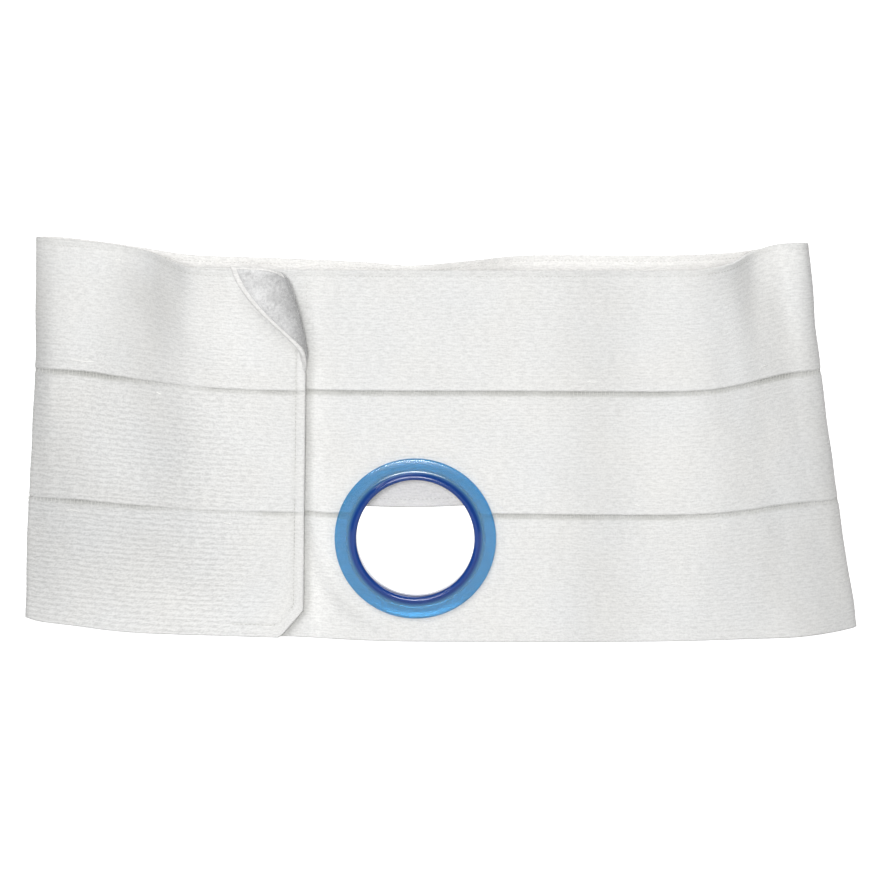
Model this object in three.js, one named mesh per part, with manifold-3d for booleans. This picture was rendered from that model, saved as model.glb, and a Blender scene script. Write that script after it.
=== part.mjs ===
// Ostomy support belt: a standing loop of three elastic bands sewn edge to edge, closed at the
// front by a flap with a hook pad, with a clear blue ring set in a hole in the front.
// Millimetres, +Z up, the front faces -Y, and the loop stands on the lower edge of its front.

import * as THREE from 'three';
import { mergeVertices } from 'three/addons/utils/BufferGeometryUtils.js';
import Module from 'manifold-3d';

const wasm = await Module();
wasm.setup();

// The loop as it stands
const halfWidth = 256;
const loopDepth = 100;

// Elastic bands
const topBandHeight = 75;
const middleBandHeight = 76;
const bottomBandHeight = 79.5;
const wall = 2.2;
const jointGap = 0.3;
const selvageBevel = 1.3;
const selvageDepth = 0.75;
const taperTip = 5.6;

// Flap, its cut lower corner and its upper corner, which is peeled and rolled over
const cutCornerLength = 14.5;
const cutCornerHeight = 18;
const peelHeight = 64;
const peelBack = 12;
const peelLead = 10;
const peelOver = 33;
const peelLift = 8;
const peelRise = 4;
const peelDrop = 9;
const peelEase = 9;

// Hook pad under the flap
const padWidth = 50;
const padThickness = 1.2;
const padInset = 4;
const padBevel = 0.75;
const padFootClearance = 18;
const layerGap = 0.3;
const restGap = 1;

// Ring
const ringAcross = -15.5;
const ringHeight = 64.7;
const ringHole = 73;
const hubWall = 3.9;
const hubBehind = 9;
const lipHeight = 1.2;
const flangeDiameter = 100;
const flangeThickness = 2.4;
const flangeEdge = 1.5;
const ringClearance = 0.4;
const flatMargin = 6;
const flatFade = 11;
const ringSides = 64;

// Mesh steps
const stationStep = 17;
const peelStep = 1.9;
const peelRows = 14;
const bandRows = 3;

const bandHeights = [bottomBandHeight, middleBandHeight, topBandHeight];
const topIndex = bandHeights.length - 1;
const layerStep = wall + padThickness + layerGap + restGap;
const flapHeight = bottomBandHeight + middleBandHeight + topBandHeight;

// Rails run round the loop along the band edges. Widths are shares of the half width.
const railColumns = ['height', 'left', 'right'];
const rails = table(railColumns, [
  [0, 1.015, 1.012],
  [bottomBandHeight, 1.004, 0.965],
  [bottomBandHeight + middleBandHeight, 0.992, 0.926],
  [flapHeight, 0.988, 0.892],
]);

// Sections in order from the hidden end, along the front, round the back and over the front
// again. across is a share of the rail's own width, the four depths are shares of the loop's
// depth, layer counts the layers in front, rise is the extra height of the top band and hem
// the height where the bottom band's lower edge runs, both as shares of those bands.
const sectionColumns = ['across', 'foot', 'low', 'high', 'top', 'layer', 'rise', 'hem'];
const sections = table(sectionColumns, [
  [-0.60, 0.185, 0.20, 0.29, 0.28, 1, 0, 0],
  [-0.45, 0.140, 0.14, 0.175, 0.20, 1, 0, 0],
  [-0.328, 0.085, 0.11, 0.145, 0.185, 1, 0, 0],
  [-0.27, 0.09, 0.105, 0.165, 0.22, 0, 0, 0],
  [-0.13, 0.02, 0.078, 0.145, 0.21, 0, 0, 0],
  [0.15, 0, 0.062, 0.135, 0.20, 0, 0, 0],
  [0.42, 0, 0.030, 0.12, 0.20, 0, 0, 0],
  [0.60, 0.025, 0.035, 0.115, 0.20, 0, 0, 0],
  [0.70, 0.06, 0.09, 0.175, 0.235, 0, 0, 0],
  [0.78, 0.085, 0.19, 0.33, 0.38, 0, 0.01, 0],
  [0.85, 0.115, 0.31, 0.52, 0.72, 0, 0.03, 0],
  [0.92, 0.21, 0.40, 0.69, 0.81, 0, 0.07, 0],
  [0.98, 0.34, 0.46, 0.77, 0.775, 0, 0.09, 0],
  [1.00, 0.41, 0.53, 0.83, 0.82, 0, 0.08, 0],
  [0.975, 0.52, 0.62, 0.90, 0.89, 0, 0.05, 0.02],
  [0.90, 0.57, 0.64, 0.86, 0.90, 0, 0.02, 0.38],
  [0.80, 0.52, 0.56, 0.72, 0.81, 0, 0, 1],
  [0.62, 0.44, 0.48, 0.60, 0.71, 0, 0, 1],
  [0.22, 0.39, 0.43, 0.55, 0.70, 0, 0, 1],
  [0.07, 0.29, 0.33, 0.42, 0.52, 0, 0, 1],
  [-0.07, 0.23, 0.27, 0.33, 0.375, 0, 0, 1],
  [-0.20, 0.27, 0.31, 0.40, 0.50, 0, 0, 1],
  [-0.42, 0.34, 0.38, 0.50, 0.63, 0, 0, 1],
  [-0.62, 0.43, 0.47, 0.63, 0.74, 0, 0, 1],
  [-0.75, 0.48, 0.53, 0.71, 0.885, 0, 0.03, 1],
  [-0.86, 0.55, 0.58, 0.82, 0.97, 0, 0.06, 0.56],
  [-0.96, 0.64, 0.66, 0.93, 1.03, 0, 0.08, 0.13],
  [-1.00, 0.64, 0.60, 0.88, 0.98, 0, 0.09, 0.01],
  [-0.965, 0.55, 0.54, 0.82, 0.93, 0, 0.09, 0],
  [-0.88, 0.43, 0.47, 0.75, 0.91, 0, 0.07, 0],
  [-0.79, 0.30, 0.37, 0.59, 0.885, 0, 0.04, 0],
  [-0.72, 0.235, 0.30, 0.475, 0.77, 0, 0.02, 0],
  [-0.655, 0.205, 0.25, 0.375, 0.50, 0, 0, 0],
  [-0.60, 0.185, 0.20, 0.29, 0.28, 0, 0, 0],
  [-0.45, 0.140, 0.14, 0.175, 0.20, 0, 0, 0],
  [-0.328, 0.085, 0.11, 0.145, 0.185, 0, 0, 0],
]);

function table(columns, rows) {
  return rows.map((row) => Object.fromEntries(columns.map((column, i) => [column, row[i]])));
}

function smooth(from, to, value) {
  return THREE.MathUtils.smoothstep(value, from, to);
}

const depthColumns = ['foot', 'low', 'high', 'top'];
const lastSection = sections.length - 1;

const railCurves = rails.map((rail, index) => new THREE.CatmullRomCurve3(sections.map((section) => {
  const reach = section.across < 0 ? rail.left : rail.right;
  const lift = index === rails.length - 1 ? section.rise * topBandHeight : 0;
  return new THREE.Vector3(
    section.across * reach * halfWidth,
    section[depthColumns[index]] * loopDepth + section.layer * layerStep,
    rail.height + lift,
  );
}), false, 'centripetal'));

// A place on the belt is a station, counted in sections, and a level, counted in bands.
function bareCloth(station, level) {
  const share = station / lastSection;
  const upright = new THREE.CatmullRomCurve3(railCurves.map((curve) => curve.getPoint(share)));
  return upright.getPoint(level / (rails.length - 1));
}

const ringNormal = new THREE.Vector3();
const ringCentre = new THREE.Vector3(ringAcross, 0, ringHeight);
const seatSection = sections.findIndex((section) => section.across * halfWidth > ringAcross);
const ringStation = seatSection - 1 + (ringAcross / halfWidth - sections[seatSection - 1].across)
  / (sections[seatSection].across - sections[seatSection - 1].across);
const ringLevel = ringHeight / bottomBandHeight;
ringCentre.y = bareCloth(ringStation, ringLevel).y;
ringNormal.copy(facing(bareCloth, ringStation, ringLevel));

function facing(cloth, station, level) {
  const small = 0.02;
  const before = cloth(Math.max(station - small, 0), level);
  const after = cloth(Math.min(station + small, lastSection), level);
  const below = cloth(station, Math.max(level - small, 0));
  const above = cloth(station, Math.min(level + small, rails.length - 1));
  return after.sub(before).cross(above.sub(below)).normalize();
}

// The flange holds the cloth flat round the hole.
function flattened(point) {
  const fromCentre = point.clone().sub(ringCentre);
  const proud = fromCentre.dot(ringNormal);
  const radius = fromCentre.addScaledVector(ringNormal, -proud).length();
  const inner = flangeDiameter / 2 + flatMargin;
  const hold = 1 - smooth(inner, inner + flatFade, radius);
  return point.addScaledVector(ringNormal, -proud * hold);
}

// The upper corner of the flap, past peelStart, is rolled over from its end.
const peelStart = lastSection - 1;
const peelTop = bareCloth(lastSection, rails.length - 1);
const peelUp = peelTop.clone().sub(bareCloth(lastSection, rails.length - 2)).normalize();
const peelOut = facing(bareCloth, lastSection, rails.length - 2);
const peelSide = peelUp.clone().cross(peelOut).normalize();
const quarterTurn = Math.PI / 2;

// The roll at a height, as a share of peelHeight. Its outline stands back from the flap's end,
// the cloth leads up to it from further in, and the free edge comes over it.
function rollSize(share) {
  return {
    back: peelBack * share ** 1.5,
    lead: peelLead * Math.sin(quarterTurn * share),
    over: peelOver * Math.sin(quarterTurn * share) ** 1.6,
    lift: peelLift * Math.sqrt(share),
    turn: 2 * quarterTurn * (1 - Math.exp(-share * peelHeight / peelEase)),
  };
}

// How far a turn round the roll lies in from its outline, and out of the flap
function rollPoint(turn, { lead, over, lift }) {
  const inside = 1 - Math.sin(turn);
  const reach = turn < quarterTurn ? lead : lead + (over - lead) * inside;
  return new THREE.Vector2(reach * inside, lift * (1 - Math.cos(turn)));
}

// How far round the roll a share of its length reaches
function rollTurn(share, size) {
  const steps = 24;
  const points = Array.from({ length: steps + 1 }, (_, i) => rollPoint(size.turn * i / steps, size));
  const lengths = [0];
  points.slice(1).forEach((point, i) => lengths.push(lengths[i] + point.distanceTo(points[i])));
  const wanted = share * lengths[steps];
  const next = Math.max(1, lengths.findIndex((length) => length >= wanted));
  const part = (wanted - lengths[next - 1]) / (lengths[next] - lengths[next - 1]);
  return (next - 1 + part) * size.turn / steps;
}

function peeled(point) {
  const fromTop = point.clone().sub(peelTop);
  const height = Math.min(1, 1 + fromTop.dot(peelUp) / peelHeight);
  if (height <= 0) return point;
  const size = rollSize(height);
  const inward = Math.max(0, -fromTop.dot(peelSide));
  const start = size.back + size.lead;
  if (inward >= start) return point;
  const turn = rollTurn(1 - inward / start, size);
  const at = rollPoint(turn, size);
  const rise = peelRise * (1 - Math.cos(turn)) / 2 - peelDrop * Math.sin(turn) ** 4;
  return point.addScaledVector(peelSide, inward - size.back - at.x)
    .addScaledVector(peelOut, at.y)
    .addScaledVector(peelUp, rise * height ** 2);
}

function cloth(station, level) {
  const point = bareCloth(station, level);
  if (station < lastSection / 2) return flattened(point);
  return station > peelStart && level > topIndex ? peeled(point) : point;
}

function clothAt(station, level, out) {
  return cloth(station, level).addScaledVector(facing(cloth, station, level), out);
}

// Stations between two places, closer together near the flap's end
function stationsBetween(from, to) {
  const stations = [from];
  for (let row = Math.floor(from); row < to; row += 1) {
    const start = Math.max(row, from);
    const end = Math.min(row + 1, to);
    const length = bareCloth(start, 1.5).distanceTo(bareCloth(end, 1.5));
    const step = row >= peelStart ? peelStep : stationStep;
    const count = Math.max(1, Math.round(length / step));
    for (let i = 1; i <= count; i += 1) stations.push(start + (end - start) * i / count);
  }
  return stations;
}

// A closed body from a list of closed rings. A ring goes up its front, where turn runs from
// 0 to 1, and down its back to 2. Two rings are joined from turn to turn, whatever their
// counts, and the first and last ring are filled.
function skin(rings) {
  const starts = [0];
  rings.forEach((ring, i) => starts.push(starts[i] + ring.length));
  const faces = [];
  for (let i = 0; i + 1 < rings.length; i += 1) {
    const [near, far] = [rings[i], rings[i + 1]];
    let [a, b] = [0, 0];
    while (a < near.length || b < far.length) {
      const nearNext = a + 1 < near.length ? near[a + 1].turn : 2;
      const farNext = b + 1 < far.length ? far[b + 1].turn : 2;
      const nearPoint = starts[i] + a % near.length;
      const farPoint = starts[i + 1] + b % far.length;
      const onFront = a < near.length && near[a].turn < 1;
      const nearFirst = onFront ? nearNext <= farNext : nearNext < farNext;
      if (b >= far.length || (a < near.length && nearFirst)) {
        faces.push(nearPoint, farPoint, starts[i] + (a + 1) % near.length);
        a += 1;
      } else {
        faces.push(nearPoint, farPoint, starts[i + 1] + (b + 1) % far.length);
        b += 1;
      }
    }
  }
  [0, rings.length - 1].forEach((i) => {
    const length = rings[i].length;
    for (let k = 0; k + 1 < length / 2; k += 1) {
      const [a, b] = [starts[i] + k, starts[i] + k + 1];
      const [c, d] = [starts[i] + length - 1 - k, starts[i] + length - 2 - k];
      faces.push(...(i === 0 ? [a, b, c, b, d, c] : [a, c, b, b, c, d]));
    }
  });
  const points = rings.flat().flatMap(({ point }) => point.toArray());
  const geometry = new THREE.BufferGeometry();
  geometry.setAttribute('position', new THREE.Float32BufferAttribute(points, 3));
  geometry.setIndex(faces);
  return geometry;
}

// Levels from one edge to the other, with one more close to each edge for its bevel
function levelsBetween(low, high, rows, bevel) {
  const inner = (row) => low + bevel + (high - low - 2 * bevel) * row / rows;
  return [low, ...Array.from({ length: rows + 1 }, (_, row) => inner(row)), high];
}

// One layer of cloth or tape between two depths. Its edges are thinner by depth on each side.
function layer({ stations, levels, outer, inner, depth }) {
  const rings = stations.map((station) => {
    const rows = levels(station);
    const [low, high] = [rows[0], rows[rows.length - 1]];
    const edge = (i) => (i === 0 || i === rows.length - 1 ? depth : 0);
    const turn = (level) => (level - low) / (high - low) * 0.99;
    const front = rows.map((level, i) => (
      { turn: turn(level), point: clothAt(station, level, outer - edge(i)) }));
    const back = rows.map((level, i) => (
      { turn: 1.99 - turn(level), point: clothAt(station, level, inner + edge(i)) }));
    return [...front, ...back.reverse()];
  });
  return skin(rings);
}

function toSolid(geometry) {
  const bare = geometry.clone();
  bare.deleteAttribute('normal');
  bare.deleteAttribute('uv');
  const merged = mergeVertices(bare, 1e-4);
  return new wasm.Manifold(new wasm.Mesh({
    numProp: 3,
    vertProperties: Float32Array.from(merged.attributes.position.array),
    triVerts: Uint32Array.from(merged.index.array),
  }));
}

function toGeometry(solid) {
  const { vertProperties, triVerts } = solid.getMesh();
  const geometry = new THREE.BufferGeometry();
  geometry.setAttribute('position', new THREE.BufferAttribute(vertProperties, 3));
  geometry.setIndex(new THREE.BufferAttribute(triVerts, 1));
  return geometry;
}

// Level where the bottom band's lower edge runs: level at the front, up at the back, and cut
// off at the flap's end
function hemLevel(station) {
  const row = Math.min(Math.floor(station), lastSection - 1);
  const hem = THREE.MathUtils.lerp(sections[row].hem, sections[row + 1].hem, station - row);
  if (station < lastSection - 1) return hem;
  const end = bareCloth(lastSection, 0);
  const fromEnd = bareCloth(station, 0).distanceTo(end);
  return hem + cutCornerHeight / bottomBandHeight * Math.max(0, 1 - fromEnd / cutCornerLength);
}

const elastic = { color: 0xe9e9e5, roughness: 0.92, metalness: 0 };
const hookTape = { color: 0xb4b4b4, roughness: 0.95, metalness: 0 };
const clearVinyl = { color: 0x3f7dc2, roughness: 0.22, metalness: 0 };

function piece(name, geometry, finish) {
  geometry.computeVertexNormals();
  const mesh = new THREE.Mesh(geometry, new THREE.MeshStandardMaterial(finish));
  mesh.name = name;
  return mesh;
}

function bandLevels(index, rows, low = index) {
  const height = bandHeights[index];
  const gap = jointGap / 2 / height;
  return levelsBetween(low + gap, index + 1 - gap, rows, selvageBevel / height);
}

function band(name, index, from, to, low) {
  const peels = index === topIndex;
  const geometry = layer({
    stations: stationsBetween(from, to),
    levels: (station) => bandLevels(
      index, peels && station > peelStart ? peelRows : bandRows, low && low(station)),
    outer: wall / 2,
    inner: -wall / 2,
    depth: selvageDepth,
  });
  return { name, geometry };
}

const taperEnd = 1 - taperTip / bottomBandHeight;
const taperStations = sections.flatMap((section, i) => {
  const next = sections[i + 1];
  if (!next || (section.hem - taperEnd) * (next.hem - taperEnd) > 0 || section.hem === next.hem) return [];
  return [i + (taperEnd - section.hem) / (next.hem - section.hem)];
});

const bands = [
  band('top_band', 2, 0, lastSection),
  band('middle_band', 1, 0, lastSection),
  band('bottom_band_front', 0, 0, taperStations[0], hemLevel),
  band('bottom_band_flap', 0, taperStations[1], lastSection, hemLevel),
];

// Ring: the lathe turns about Y, which is then laid along the ring's axis.
const ringTurn = new THREE.Quaternion().setFromUnitVectors(new THREE.Vector3(0, 1, 0), ringNormal);

function ringGeometry() {
  const back = wall / 2 + layerGap;
  const [hole, hub, flange] = [ringHole / 2, ringHole / 2 + hubWall, flangeDiameter / 2];
  const front = back + flangeThickness;
  const soft = flangeEdge / 2;
  const profile = [
    [hole, -hubBehind], [hub, -hubBehind], [hub, back], [flange - soft / 2, back],
    [flange, back + soft], [flange - soft, front], [hub + hubWall / 2, front],
    [hub, front + lipHeight], [hole + soft, front + lipHeight], [hole, front + lipHeight / 2],
    [hole, -hubBehind],
  ];
  const points = profile.map(([radius, along]) => new THREE.Vector2(radius, along));
  const geometry = new THREE.LatheGeometry(points, ringSides);
  return geometry.applyQuaternion(ringTurn).translate(...ringCentre.toArray());
}

function holeCutter() {
  const radius = ringHole / 2 + hubWall + ringClearance;
  const geometry = new THREE.CylinderGeometry(radius, radius, 4 * hubBehind, ringSides);
  return toSolid(geometry.applyQuaternion(ringTurn).translate(...ringCentre.toArray()));
}

// Station at a distance from the flap's end, found by halving
function stationFromEnd(distance) {
  const end = bareCloth(lastSection, 1.5);
  let [low, high] = [lastSection - 2, lastSection];
  for (let i = 0; i < 30; i += 1) {
    const middle = (low + high) / 2;
    if (bareCloth(middle, 1.5).distanceTo(end) > distance) low = middle;
    else high = middle;
  }
  return high;
}

function hookPad() {
  const [first, last] = [stationFromEnd(padWidth), stationFromEnd(padInset)];
  const between = stationsBetween(lastSection - 2, lastSection)
    .filter((station) => station > first + 0.01 && station < last - 0.01);
  const foot = padFootClearance / bottomBandHeight;
  const head = topIndex + 1 - padInset / topBandHeight;
  const bevel = padBevel / middleBandHeight;
  const levels = [
    ...levelsBetween(foot, topIndex, 2 * bandRows, bevel).slice(0, -2),
    ...bandLevels(topIndex, peelRows).filter((level) => level < head - bevel),
    head,
  ];
  return layer({
    stations: [first, ...between, last],
    levels: () => levels,
    outer: -wall / 2 - layerGap,
    inner: -wall / 2 - layerGap - padThickness,
    depth: padThickness / 4,
  });
}

const cutter = holeCutter();
const belt = new THREE.Group();
bands.forEach(({ name, geometry }) => {
  const cut = name === 'middle_band' || name === 'bottom_band_front';
  const shape = cut ? toGeometry(toSolid(geometry).subtract(cutter)) : geometry;
  belt.add(piece(name, shape, elastic));
});
belt.add(piece('hook_pad', hookPad(), hookTape));
belt.add(piece('belt_ring', toGeometry(toSolid(ringGeometry())), clearVinyl));

// The origin lies on the surface the loop stands on, under the middle of its box.
const extent = new THREE.Box3().setFromObject(belt, true);
const middle = extent.getCenter(new THREE.Vector3());
belt.position.set(-middle.x, -middle.y, -extent.min.z);

export default belt;
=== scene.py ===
import math

import bpy
import numpy as np
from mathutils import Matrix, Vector


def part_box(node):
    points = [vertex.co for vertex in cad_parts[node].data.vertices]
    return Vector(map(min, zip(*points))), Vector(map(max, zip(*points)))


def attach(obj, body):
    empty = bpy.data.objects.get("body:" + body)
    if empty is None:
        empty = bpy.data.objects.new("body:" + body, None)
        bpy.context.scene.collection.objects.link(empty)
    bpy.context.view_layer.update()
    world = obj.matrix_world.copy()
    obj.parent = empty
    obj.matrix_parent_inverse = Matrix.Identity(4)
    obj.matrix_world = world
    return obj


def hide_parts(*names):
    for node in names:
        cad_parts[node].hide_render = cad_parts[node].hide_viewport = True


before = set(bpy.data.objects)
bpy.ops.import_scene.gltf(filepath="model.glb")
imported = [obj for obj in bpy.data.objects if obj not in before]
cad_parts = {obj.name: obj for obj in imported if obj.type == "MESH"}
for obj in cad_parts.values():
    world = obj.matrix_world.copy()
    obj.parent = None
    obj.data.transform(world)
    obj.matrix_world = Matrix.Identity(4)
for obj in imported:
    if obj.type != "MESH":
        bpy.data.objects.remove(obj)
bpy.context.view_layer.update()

# An ostomy support belt standing as a closed loop: three ribbed elastic bands sewn edge to
# edge, a flap with hook tape and a peeled corner, and a clear blue ring in the front.
# Lengths are millimetres until a mesh is made.
mm = 0.001

loopShape = {
    "halfWidth": 256,
    "depth": 100,
    "bandHeights": (79.5, 76, 75),
    "wall": 2.2,
    "layerStep": 4.7,
    # each band edge: its height, and its left and right widths as shares of the half width
    "rails": [
        (0, 1.015, 1.012),
        (79.5, 1.004, 0.965),
        (155.5, 0.992, 0.926),
        (230.5, 0.988, 0.892),
    ],
    # across, depths at the four band edges, layer, rise, hem, as shares of the sizes above
    "sections": [
        (-0.60, 0.185, 0.20, 0.29, 0.28, 1, 0, 0),
        (-0.45, 0.140, 0.14, 0.175, 0.20, 1, 0, 0),
        (-0.328, 0.085, 0.11, 0.145, 0.185, 1, 0, 0),
        (-0.27, 0.09, 0.105, 0.165, 0.22, 0, 0, 0),
        (-0.13, 0.02, 0.078, 0.145, 0.21, 0, 0, 0),
        (0.15, 0, 0.062, 0.135, 0.20, 0, 0, 0),
        (0.42, 0, 0.030, 0.12, 0.20, 0, 0, 0),
        (0.60, 0.025, 0.035, 0.115, 0.20, 0, 0, 0),
        (0.70, 0.06, 0.09, 0.175, 0.235, 0, 0, 0),
        (0.78, 0.085, 0.19, 0.33, 0.38, 0, 0.01, 0),
        (0.85, 0.115, 0.31, 0.52, 0.72, 0, 0.03, 0),
        (0.92, 0.21, 0.40, 0.69, 0.81, 0, 0.07, 0),
        (0.98, 0.34, 0.46, 0.77, 0.775, 0, 0.09, 0),
        (1.00, 0.41, 0.53, 0.83, 0.82, 0, 0.08, 0),
        (0.975, 0.52, 0.62, 0.90, 0.89, 0, 0.05, 0.02),
        (0.90, 0.57, 0.64, 0.86, 0.90, 0, 0.02, 0.38),
        (0.80, 0.52, 0.56, 0.72, 0.81, 0, 0, 1),
        (0.62, 0.44, 0.48, 0.60, 0.71, 0, 0, 1),
        (0.22, 0.39, 0.43, 0.55, 0.70, 0, 0, 1),
        (0.07, 0.29, 0.33, 0.42, 0.52, 0, 0, 1),
        (-0.07, 0.23, 0.27, 0.33, 0.375, 0, 0, 1),
        (-0.20, 0.27, 0.31, 0.40, 0.50, 0, 0, 1),
        (-0.42, 0.34, 0.38, 0.50, 0.63, 0, 0, 1),
        (-0.62, 0.43, 0.47, 0.63, 0.74, 0, 0, 1),
        (-0.75, 0.48, 0.53, 0.71, 0.885, 0, 0.03, 1),
        (-0.86, 0.55, 0.58, 0.82, 0.97, 0, 0.06, 0.56),
        (-0.96, 0.64, 0.66, 0.93, 1.03, 0, 0.08, 0.13),
        (-1.00, 0.64, 0.60, 0.88, 0.98, 0, 0.09, 0.01),
        (-0.965, 0.55, 0.54, 0.82, 0.93, 0, 0.09, 0),
        (-0.88, 0.43, 0.47, 0.75, 0.91, 0, 0.07, 0),
        (-0.79, 0.30, 0.37, 0.59, 0.885, 0, 0.04, 0),
        (-0.72, 0.235, 0.30, 0.475, 0.77, 0, 0.02, 0),
        (-0.655, 0.205, 0.25, 0.375, 0.50, 0, 0, 0),
        (-0.60, 0.185, 0.20, 0.29, 0.28, 0, 0, 0),
        (-0.45, 0.140, 0.14, 0.175, 0.20, 0, 0, 0),
        (-0.328, 0.085, 0.11, 0.145, 0.185, 0, 0, 0),
    ],
}
lastSection = len(loopShape["sections"]) - 1
bandHeights = loopShape["bandHeights"]
halfWall = loopShape["wall"] / 2


def makeRails():
    top = len(loopShape["rails"]) - 1
    rails = []
    for index, (height, left, right) in enumerate(loopShape["rails"]):
        points = []
        for across, *depths, layer, rise, _ in loopShape["sections"]:
            reach = left if across < 0 else right
            lift = rise * bandHeights[-1] if index == top else 0
            depth = depths[index] * loopShape["depth"] + layer * loopShape["layerStep"]
            points.append((across * reach * loopShape["halfWidth"], depth, height + lift))
        rails.append(np.array(points, float))
    return rails


railPoints = makeRails()


# Centripetal Catmull-Rom: each tangent weighs the steps by the root of their length.
def curvePoint(before, start, end, after, part):
    steps = [(before, start), (start, end), (end, after)]
    d0, d1, d2 = (np.linalg.norm(b - a, axis=-1, keepdims=True) ** 0.5 for a, b in steps)
    leave = ((start - before) / d0 - (end - before) / (d0 + d1) + (end - start) / d1) * d1
    arrive = ((end - start) / d1 - (after - start) / (d1 + d2) + (after - end) / d2) * d1
    part = part[:, None]
    bend = 3 * (end - start) - 2 * leave - arrive
    return start + leave * part + bend * part**2 + (2 * (start - end) + leave + arrive) * part**3


def alongPoints(points, where):
    step = np.clip(np.floor(where), 0, len(points) - 2).astype(int)
    longer = np.concatenate([[2 * points[0] - points[1]], points, [2 * points[-1] - points[-2]]])
    if points.ndim == 2:
        near = [longer[step + k] for k in range(4)]
    else:
        near = [longer[step + k, np.arange(len(where))] for k in range(4)]
    return curvePoint(*near, where - step)


# A place on the belt is a station, counted in sections, and a level, counted in bands.
def bareCloth(station, level):
    station, level = np.broadcast_arrays(np.asarray(station, float), np.asarray(level, float))
    rails = np.stack([alongPoints(rail, station.ravel()) for rail in railPoints])
    return alongPoints(rails, level.ravel())


def unit(vector):
    return vector / np.linalg.norm(vector, axis=-1, keepdims=True)


def smooth(low, high, value):
    t = np.clip((value - low) / (high - low), 0, 1)
    return t * t * (3 - 2 * t)


# One at a middle place, and fading to nothing on both sides of it
def hump(value, middle, width):
    return np.exp(-((value - middle) / width) ** 2)


def facing(surface, station, level):
    small = 0.02
    along = surface(np.minimum(station + small, lastSection), level)
    along = along - surface(np.maximum(station - small, 0), level)
    up = surface(station, np.minimum(level + small, 3))
    up = up - surface(station, np.maximum(level - small, 0))
    return unit(np.cross(along, up))


ringShape = {
    "across": -15.5,
    "height": 64.7,
    "hole": 73,
    "hubWall": 3.9,
    "hubBehind": 9,
    "lipHeight": 1.2,
    "flangeDiameter": 100,
    "flangeThickness": 2.4,
    "rimRound": 1.1,
    "seatGap": 0.3,
    "flatMargin": 6,
    "flatFade": 11,
    "sides": 256,
    "hubRound": 0.7,
    "corner": 0.4,
    "filletWidth": 1.5,
    "filletHeight": 0.62,
    "beadHeight": 1.7,
    "deepFrom": 0.1,
    "deepTo": 3.0,
    "holeGap": 0.35,
    "holeSides": 128,
    "drumReach": 8,
    "wavesFrom": 1,
    "wavesFull": 14,
    "reach": 12,
    "backFrom": 15,
}
hubRadius = ringShape["hole"] / 2 + ringShape["hubWall"]


def seatRing():
    sections = loopShape["sections"]
    wanted = ringShape["across"] / loopShape["halfWidth"]
    seat = next(i for i, section in enumerate(sections) if section[0] > wanted)
    station = seat - 1 + (wanted - sections[seat - 1][0]) / (sections[seat][0] - sections[seat - 1][0])
    place = np.array([station]), np.array([ringShape["height"] / bandHeights[0]])
    centre = np.array([ringShape["across"], bareCloth(*place)[0, 1], ringShape["height"]])
    return centre, facing(bareCloth, *place)[0]


ringCentre, ringNormal = seatRing()


# How far points stand out from the ring's plane, and how far they are from its axis
def fromRing(points):
    fromCentre = points - ringCentre
    proud = fromCentre @ ringNormal
    return proud, np.linalg.norm(fromCentre - proud[:, None] * ringNormal, axis=1)


# The flange holds the cloth flat round the hole.
def flattened(point):
    proud, radius = fromRing(point)
    inner = ringShape["flangeDiameter"] / 2 + ringShape["flatMargin"]
    hold = 1 - smooth(inner, inner + ringShape["flatFade"], radius)
    return point - (proud * hold)[:, None] * ringNormal


peelShape = {
    "start": lastSection - 1,
    "height": 64,
    "back": 12,
    "lead": 10,
    "over": 33,
    "lift": 8,
    "rise": 4,
    "drop": 9,
    "ease": 9,
}


def peelFrame():
    top = bareCloth([lastSection], [3])[0]
    up = unit(top - bareCloth([lastSection], [2])[0])
    out = facing(bareCloth, np.array([float(lastSection)]), np.array([2.0]))[0]
    return top, up, unit(np.cross(up, out)), out


peelTop, peelUp, peelSide, peelOut = peelFrame()


def rollSize(share):
    quarter = np.sin(np.pi / 2 * share)
    return {
        "back": peelShape["back"] * share**1.5,
        "lead": peelShape["lead"] * quarter,
        "over": peelShape["over"] * quarter**1.6,
        "lift": peelShape["lift"] * np.sqrt(share),
        "turn": np.pi * (1 - np.exp(-share * peelShape["height"] / peelShape["ease"])),
    }


def rollPoint(turn, size):
    inside = 1 - np.sin(turn)
    reach = size["lead"] + (size["over"] - size["lead"]) * inside * (turn >= np.pi / 2)
    return reach * inside, size["lift"] * (1 - np.cos(turn))


def rollTurn(share, size):
    steps = 24
    turns = np.linspace(0, 1, steps + 1)[:, None] * size["turn"]
    inward, outward = rollPoint(turns, size)
    lengths = np.cumsum(np.hypot(np.diff(inward, axis=0), np.diff(outward, axis=0)), axis=0)
    lengths = np.vstack([np.zeros(len(share)), lengths])
    after = np.clip((lengths < share * lengths[-1]).sum(axis=0), 1, steps)
    pick = np.arange(len(share))
    step = np.maximum(lengths[after, pick] - lengths[after - 1, pick], 1e-9)
    return (after - 1 + (share * lengths[-1] - lengths[after - 1, pick]) / step) * size["turn"] / steps


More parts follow.
